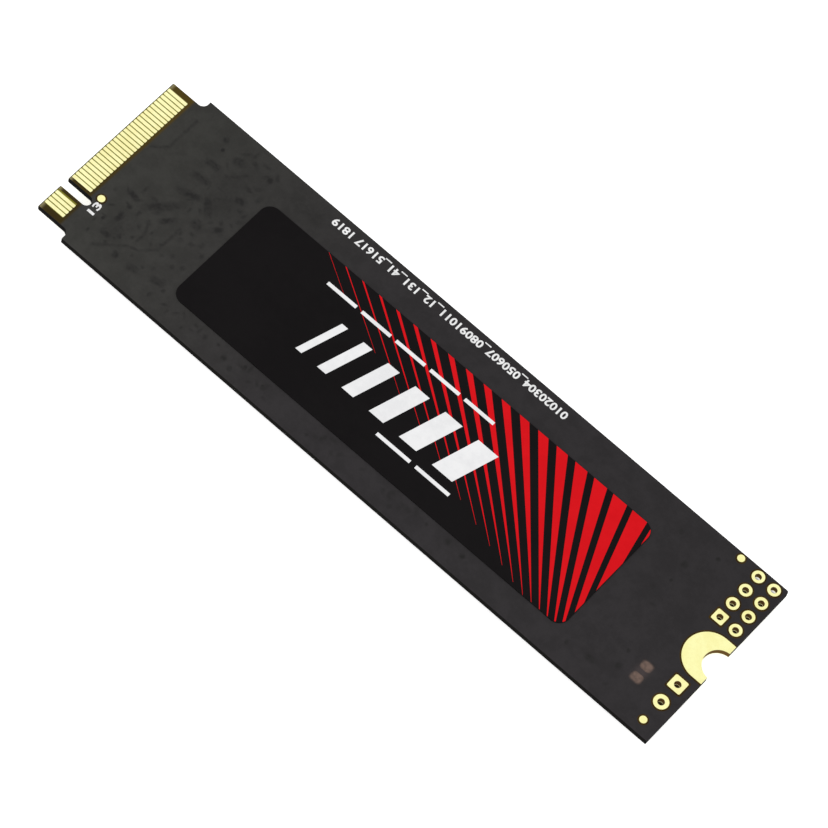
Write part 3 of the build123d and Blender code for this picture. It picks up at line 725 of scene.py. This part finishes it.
# Solder fillets: a hollow quarter circle from the end's outer face down to the board, carried across
# the width of the end and closed along the corner
def solderFillets(ends, bodies, reach):
    endCentre, bodyCentre = ends.mean(axis=1)[:, :2], bodies.mean(axis=1)[:, :2]
    nearest = np.linalg.norm(endCentre[:, None] - bodyCentre[None], axis=2).argmin(axis=1)
    away = endCentre - bodyCentre[nearest]
    away /= np.linalg.norm(away, axis=1, keepdims=True)
    sideways = np.stack([-away[:, 1], away[:, 0]], axis=1)
    half = (ends[:, 1] - ends[:, 0])[:, :2] / 2
    length, width = np.abs(half * away).sum(axis=1), np.abs(half * sideways).sum(axis=1)
    climb = smallForm["climb"] * (ends[:, 1, 2] - ends[:, 0, 2])
    turn = np.linspace(0, np.pi / 2, smallForm["filletSteps"])
    outwards = np.append(reach * (1 - np.sin(turn)), 0)
    down = np.append(1 - np.cos(turn), 0)
    foot = endCentre + away * length[:, None]
    flat = foot[:, None, None] + away[:, None, None] * outwards[None, :, None, None]
    flat = flat + sideways[:, None, None] * (width[:, None, None] * np.array([-1, 1]))[..., None]
    tall = chipFace - climb[:, None] * down
    return gridForm(standing(flat, tall[:, :, None, None]), closeRows=True)


for kind, form in smallParts.items():
    bodies, ends = solidBoxes(kind + "_bodies"), solidBoxes(kind + "_ends")
    softBodies = roundedBlocks(bodies, form["edge"], form["edge"] * smallForm["bodyEdge"], "both", 2, 1)
    addPiece("soft_" + kind + "_bodies", softBodies, form["body"], [kind + "_bodies"])
    softEnds = roundedBlocks(ends, form["edge"], form["edge"], "both", 2, 2)
    addPiece("soft_" + kind + "_ends", softEnds, "tinnedEnd", [kind + "_ends"])
    fillets = solderFillets(ends, bodies, form["fillet"])
    addPiece(kind + "_fillets", fillets, "solder")

# Crystal: a ceramic base and a metal lid with a softer edge
crystalForm = {"corner": 0.25, "baseEdge": 0.03, "lidEdge": 0.09}
for nodeName, edge, finish, slot in (
    ("crystal_base", crystalForm["baseEdge"], "ceramicDark", "ceramic_dark"),
    ("crystal_lid", crystalForm["lidEdge"], "tinnedEnd", "tin"),
):
    shell = roundedBlocks(solidBoxes(nodeName), crystalForm["corner"], edge, "low", 5, 3)
    addPiece("soft_" + nodeName, shell, finish, [nodeName])
print("small parts:", len(smallParts) + 1)

# Copper under the mask, as low ribs and domes. A bundle is one line repeated at a pitch along its
# spread, which keeps the same gap on its straight and its slanting runs
trackForm = {"width": 0.7, "height": 0.0075, "pitch": 0.8}
slantDown, slantUp = (0.414, 1.0), (-0.414, 1.0)
trackBundles = {
    "label_side": [
        {"line": [(-33.4, -9.3), (-30.8, -7.0), (-29.7, -6.6), (-28.4, -5.2), (-28.4, -1.9)]},
        {"line": [(-30.5, -6.0), (-30.5, -4.7), (-31.2, -3.4)]},
        {"line": [(-36.7, 2.9), (-35.4, 4.2), (-35.4, 8.4)]},
        {"line": [(-29.1, 5.7), (-27.7, 7.4)]},
    ],
    "chip_side": [
        {"count": 4, "spread": slantDown, "line": [(-36.8, 8.2), (-36.0, 7.4), (-34.9, 7.4)]},
        {"count": 4, "spread": slantDown, "line": [(-36.8, -1.0), (-36.0, -1.8), (-34.9, -1.8)]},
        {"count": 4, "spread": slantDown, "line": [(-22.6, -1.2), (-21.4, -2.4), (-17.8, -2.4)]},
        {"count": 4, "spread": slantUp, "line": [(-22.6, 2.6), (-19.8, 2.6), (-19.0, 3.4), (-17.8, 3.4)]},
        {"count": 3, "spread": slantDown, "line": [(-26.0, -4.2), (-24.2, -6.0), (-18.0, -6.0)]},
    ],
}


def spreadBundle(bundle, pitch):
    count, spread = bundle.get("count", 1), np.array(bundle.get("spread", slantDown))
    steps = np.arange(count) - (count - 1) / 2
    return np.array(bundle["line"]) + (steps[:, None] * pitch * spread)[:, None]


for side, bundles in trackBundles.items():
    lines = [line for bundle in bundles for line in spreadBundle(bundle, trackForm["pitch"])]
    ribs = lowRibs(lines, trackForm["width"], trackForm["height"], *faceSides[side])
    addPiece("tracks_" + side, ribs, "blackBoard")

# Filled holes under the mask: small domes whose sizes, heights and turns swing along sine waves from
# one to the next; girth and rise are a mean share and its swing
viaForm = {"diameter": 1.15, "girth": (0.85, 0.3), "height": 0.0155, "rise": (0.75, 0.25),
           "beat": 7.0, "girthBeats": (1.3, 2.1)}
viaPlaces = {
    "label_side": [
        (-28.1, 8.9), (-31.9, 8.9), (-31.4, 7.8), (-25.8, 8.6), (-24.9, 3.7), (-26.4, 6.2), (-25.1, 2.0),
        (-27.6, -2.8), (-35.9, -3.2), (-33.6, -3.6), (-32.1, -6.8), (-34.6, -6.4), (-31.0, -8.6),
        (-25.7, -9.4), (-23.9, -9.2), (-20.1, -8.7), (-18.7, -9.0), (-17.2, -8.7), (-15.9, -9.4),
        (-14.7, -9.9), (-13.7, -8.7), (-11.0, -9.0), (-3.3, -9.2), (1.7, -8.8), (5.5, -9.2), (7.1, -8.9),
        (10.0, -8.8), (12.7, -8.7), (14.7, -8.9), (27.8, -8.6), (33.0, -6.9), (32.7, -5.0), (33.3, -9.3),
        (31.2, 0.4), (30.0, 1.9), (30.9, 3.7), (30.8, 5.9), (32.8, 8.7), (28.3, 8.4),
    ],
    "chip_side": [
        (-20.9, 8.9), (-19.8, 8.1), (-18.9, 9.2), (-20.3, -8.6), (-19.2, -9.3), (-35.2, -9.6), (-34.9, 9.6),
        (-20.5, 0.1), (35.6, 8.2), (35.4, 6.1), (35.9, 2.0), (35.6, -1.4), (36.2, -3.0),
        (35.5, -8.8), (-18.6, -7.2), (-18.5, 6.3), (-36.2, 4.6),
    ],
}


def waved(mean, swing, phase):
    return mean + swing * np.sin(phase)


for side, spots in viaPlaces.items():
    beat = viaForm["beat"] * np.arange(len(spots))
    sizes = viaForm["diameter"] / 2 * waved(*viaForm["girth"], beat[:, None] * viaForm["girthBeats"])
    heights = viaForm["height"] * waved(*viaForm["rise"], beat)
    domes = lowDomes(np.array(spots), sizes, beat, heights, *faceSides[side])
    addPiece("vias_" + side, domes, "blackBoard")

# Specks between them: each spot steps on by two irrational shares of its zone's sides, and its size
# and turn with it. A zone is its low corner, its high corner and its number of specks
speckForm = {"steps": (0.7549, 0.5698), "least": (0.7, 0.5), "growth": (1.1, 0.5)}
speckZones = [
    ((-30.2, -9.8), (-24.6, 10.0), 46),
    ((-35.2, -9.4), (-30.2, -1.0), 20),
    ((-24.0, -10.1), (14.0, -8.4), 24),
]


def scatteredSpecks(low, high, count):
    share = np.arange(1, count + 1)[:, None] * speckForm["steps"] % 1
    spots = np.array(low) + share * (np.array(high) - np.array(low))
    sizes = np.array(speckForm["least"]) + np.array(speckForm["growth"]) * share[:, ::-1]
    turns = np.round(share.sum(axis=1) * 8) * 45
    return list(zip(spots, sizes, turns))


# Wide copper under the mask, each as its place, its size and its turn in degrees
coveredForms = {
    "covered_patches": {"height": 0.0132, "power": 3.4, "sides": 24, "forms": [
        ((-30.9, 5.85), (3.2, 1.5), 5), ((-30.7, 3.85), (3.6, 1.4), 9), ((-30.4, 1.7), (4.4, 1.4), 17),
        ((-28.1, 1.9), (4.2, 1.5), -48), ((-31.2, -1.1), (6.2, 1.6), 49), ((-27.6, -0.4), (2.1, 1.6), 15),
        ((-34.2, -2.4), (2.2, 1.2), -10), ((-29.9, -2.1), (2.8, 1.1), 52), ((-33.5, -5.1), (1.2, 2.3), 0),
        ((-33.3, -7.5), (2.0, 1.2), 0), ((-29.3, 7.9), (2.2, 1.7), 30), ((-26.3, 4.7), (2.2, 1.4), 20),
        ((-25.7, 0.7), (1.9, 1.2), 45), ((-26.1, -7.8), (2.7, 1.4), 15), ((-28.8, -8.5), (2.0, 1.4), 10),
        ((30.6, -8.3), (2.0, 1.2), 0),
    ]},
    "covered_areas": {"height": 0.0062, "power": 2.4, "sides": 40, "forms": [
        ((-27.9, 3.6), (6.4, 10.5), 20), ((-32.6, -6.0), (5.2, 6.4), -20), ((-20.9, 8.6), (9.0, 4.0), 0),
    ]},
    "covered_specks": {"height": 0.0088, "power": 3.4, "sides": 12, "forms": [
        speck for zone in speckZones for speck in scatteredSpecks(*zone)
    ]},
}
for name, covered in coveredForms.items():
    spots, sizes, turns = (np.array(part, float) for part in zip(*covered["forms"]))
    heights = np.full(len(spots), covered["height"])
    shape = covered["sides"], covered["power"]
    domes = lowDomes(spots, sizes / 2, np.radians(turns), heights, labelFace, 1, *shape)
    addPiece(name, domes, "blackBoard")

# Printed numbers on the board: a text made a mesh, then stretched, turned and set on the face
printForm = {"height": 0.008, "boldness": 0.028, "curveSteps": 3}
numberLines = {
    "number_row": {"text": "01020304_050607_08091011_12_131_41_51617 1819", "turn": "half",
                   "box": (-18.4, 9.35, 12.3, 10.42)},
    "number_mark": {"text": "13", "turn": "quarter", "box": (-36.3, -6.95, -35.45, -5.45)},
}


def printedNumbers(name, line, form):
    curve = bpy.data.curves.new(name, "FONT")
    curve.body = line["text"]
    curve.extrude = 0.5
    curve.offset = form["boldness"]
    curve.resolution_u = form["curveSteps"]
    holder = bpy.data.objects.new(name, curve)
    scene.collection.objects.link(holder)
    mesh = bpy.data.meshes.new_from_object(holder.evaluated_get(bpy.context.evaluated_depsgraph_get()))
    bpy.data.objects.remove(holder)
    points = np.empty(len(mesh.vertices) * 3)
    mesh.vertices.foreach_get("co", points)
    points = points.reshape(-1, 3)
    faces = [list(polygon.vertices) for polygon in mesh.polygons]
    bpy.data.meshes.remove(mesh)
    share = (points - points.min(0)) / (points.max(0) - points.min(0))
    if line["turn"] == "half":
        share[:, :2] = 1 - share[:, :2]
    else:
        share[:, :2] = np.stack([1 - share[:, 1], share[:, 0]], axis=1)
    low = np.array([*line["box"][:2], labelFace])
    high = np.array([*line["box"][2:], labelFace + form["height"]])
    addPiece(name, (low + share * (high - low), faces), "boardInk", crease=20)


for name, line in numberLines.items():
    printedNumbers(name, line, printForm)

# White ticks on the chip side: two short bars at every corner of the ball-grid packages
tickForm = {"gap": 0.3, "length": 1.0, "width": 0.14, "height": 0.01, "corner": 0.03, "edge": 0.004}


def cornerTicks(packages, form):
    lows, highs = packages[:, 0, :2] - form["gap"], packages[:, 1, :2] + form["gap"]
    sign = np.array([(-1, -1), (-1, 1), (1, -1), (1, 1)])
    corners = np.where(sign[None] < 0, lows[:, None], highs[:, None]).reshape(-1, 2)
    inward = -np.tile(sign, (len(packages), 1))
    length, width = form["length"], form["width"]
    start = np.concatenate([corners, corners + inward * (0, width)])
    end = np.concatenate([corners + inward * (length, width), corners + inward * (width, length)])
    level = np.full((len(start), 1), chipFace)
    low = np.hstack([np.minimum(start, end), level - form["height"]])
    high = np.hstack([np.maximum(start, end), level])
    return np.stack([low, high], axis=1)


packages = np.array([solidBoxes(nodeName)[0] for nodeName in chipNodes[:5]])
ticks = roundedBlocks(cornerTicks(packages, tickForm), tickForm["corner"], tickForm["edge"], "low", 2, 1)
addPiece("package_ticks_chip_side", ticks, "boardInk")
print("board relief and print: done")

# Pale floor under the card. A lift of painted light keeps it white to the eye where it lies open: round the
# card and in its openings, where the card's shade stays only faint. Under the card it takes a dark painted
# shade. It is clear from below, and lets the light of the room reach the chip side
floorLook = {
    "size": 3000.0,
    "drop": 0.02,
    "tone": 0.93,
    # Painted shade: the dark brown floor colour under the card
    "underShadeTone": (0.064, 0.044, 0.026),
    "lift": 0.6,
    "shadeMiddle": (-0.2, 0.45),
    "soft": (-1.0, -0.2),
    # Painted light: the lift whitens the floor in these openings, where the card's shade falls
    "openings": {
        "key slot": (tipX + 1.7, -5.2),
        "screw notch": (endX - 0.6, 0.7),
        "near tab shoulder": (tipX + 2.0, -10.2),
        "far tab shoulder": (tipX + 1.4, 11.0),
    },
    "openReach": (1.7, 2.5),
}


def whiteToEye(tree):
    path = place(tree, "ShaderNodeLightPath").outputs
    seen = calc(tree, "MAXIMUM", path["Is Camera Ray"], path["Is Glossy Ray"])
    return calc(tree, "MAXIMUM", seen, path["Is Transmission Ray"])


# Open share of the floor: 1 outside the card's rectangle and near the middle of each opening, else 0. It
# places the painted light of the lift, and the painted shade under the card where it is 0
def openShare(tree, look):
    where = scaled(tree, "MULTIPLY", objectPlace(tree), (1 / mm, 1 / mm, 0.0))
    apart = scaled(tree, "SUBTRACT", where, (*look["shadeMiddle"], 0.0))
    beyond = scaled(tree, "SUBTRACT", scaled(tree, "ABSOLUTE", apart, (0, 0, 0)), tuple(boardHigh))
    beyond = place(tree, "ShaderNodeSeparateXYZ", {0: beyond}).outputs
    share = smoothRange(tree, calc(tree, "MAXIMUM", beyond[0], beyond[1]), *look["soft"])
    for middle in look["openings"].values():
        apart = place(tree, "ShaderNodeVectorMath", {0: where, 1: (*middle, 0.0)}, operation="DISTANCE")
        opening = smoothRange(tree, apart.outputs["Value"], *look["openReach"], 1.0, 0.0)
        share = calc(tree, "MAXIMUM", share, opening)
    return share


def buildFloor(look):
    square = look["size"] / 2 * np.array([(-1, -1), (1, -1), (1, 1), (-1, 1)])
    mesh = bpy.data.meshes.new("floor")
    mesh.from_pydata((standing(square, -look["drop"]) * mm).tolist(), [], [(0, 1, 2, 3)])
    material, tree, shader = newFinish("paleFloor")
    share = openShare(tree, look)
    # Painted shade under the card, pale where the floor lies open
    tone = blendColour(tree, share, colour(*look["underShadeTone"]), colour(*[look["tone"]] * 3))
    tree.links.new(tone, shader.inputs["Base Color"])
    shader.inputs["Roughness"].default_value = 1.0
    shader.inputs["Specular IOR Level"].default_value = 0.0
    shader.inputs["Emission Color"].default_value = colour(1, 1, 1)
    lift = calc(tree, "MULTIPLY", share, look["lift"])
    tree.links.new(calc(tree, "MULTIPLY", whiteToEye(tree), lift), shader.inputs["Emission Strength"])
    fromBelow = place(tree, "ShaderNodeNewGeometry").outputs["Backfacing"]
    clear = place(tree, "ShaderNodeBsdfTransparent").outputs[0]
    mixed = place(tree, "ShaderNodeMixShader", {0: fromBelow, 1: shader.outputs[0], 2: clear}).outputs[0]
    tree.links.new(mixed, tree.nodes["Material Output"].inputs["Surface"])
    mesh.materials.append(material)
    floor = bpy.data.objects.new("floor", mesh)
    floor.visible_diffuse = floor.visible_glossy = floor.visible_shadow = False
    scene.collection.objects.link(floor)


buildFloor(floorLook)

# White surroundings, plain for the eye and in reflections, a little lower as light
roomLook = {"light": 0.84}


def buildRoom(look):
    room = bpy.data.worlds.new("room")
    room.use_nodes = True
    tree = room.node_tree
    backdrop = tree.nodes["Background"]
    backdrop.inputs["Color"].default_value = colour(1, 1, 1)
    strength = smoothRange(tree, whiteToEye(tree), 0.0, 1.0, look["light"], 1.0)
    tree.links.new(strength, backdrop.inputs["Strength"])
    scene.world = room


buildRoom(roomLook)

# One wide soft box in front of the connector end
boxLook = {"at": (-360.0, -380.0, 520.0), "size": 480.0, "power": 0.9}


def buildSoftBox(look):
    light = bpy.data.lights.new("softBox", "AREA")
    light.size = look["size"] * mm
    light.energy = look["power"]
    box = bpy.data.objects.new("softBox", light)
    box.location = Vector(look["at"]) * mm
    box.rotation_euler = (-box.location).to_track_quat("-Z", "Y").to_euler()
    scene.collection.objects.link(box)


buildSoftBox(boxLook)

# Camera: turned and raised about its aim point, then rolled about its own axis
cameraLook = {"aim": (1.361, -0.659, 1.95), "azimuth": -66.014, "elevation": 62.132, "roll": -19.0,
              "distance": 510.26, "lens": 227.59, "sensor": 36.0, "nearest": 10.0}


def buildCamera(look):
    azimuth, elevation = math.radians(look["azimuth"]), math.radians(look["elevation"])
    level = math.cos(elevation)
    back = Vector((level * math.cos(azimuth), level * math.sin(azimuth), math.sin(elevation)))
    data = bpy.data.cameras.new("camera")
    data.lens = look["lens"]
    data.sensor_width = look["sensor"]
    data.clip_start = look["nearest"] * mm
    camera = bpy.data.objects.new("camera", data)
    roll = Matrix.Rotation(math.radians(-look["roll"]), 4, "Z")
    turn = back.to_track_quat("Z", "Y").to_matrix().to_4x4() @ roll
    camera.matrix_world = Matrix.Translation((Vector(look["aim"]) + back * look["distance"]) * mm) @ turn
    scene.collection.objects.link(camera)
    scene.camera = camera


buildCamera(cameraLook)
print("stage, light and camera: done")
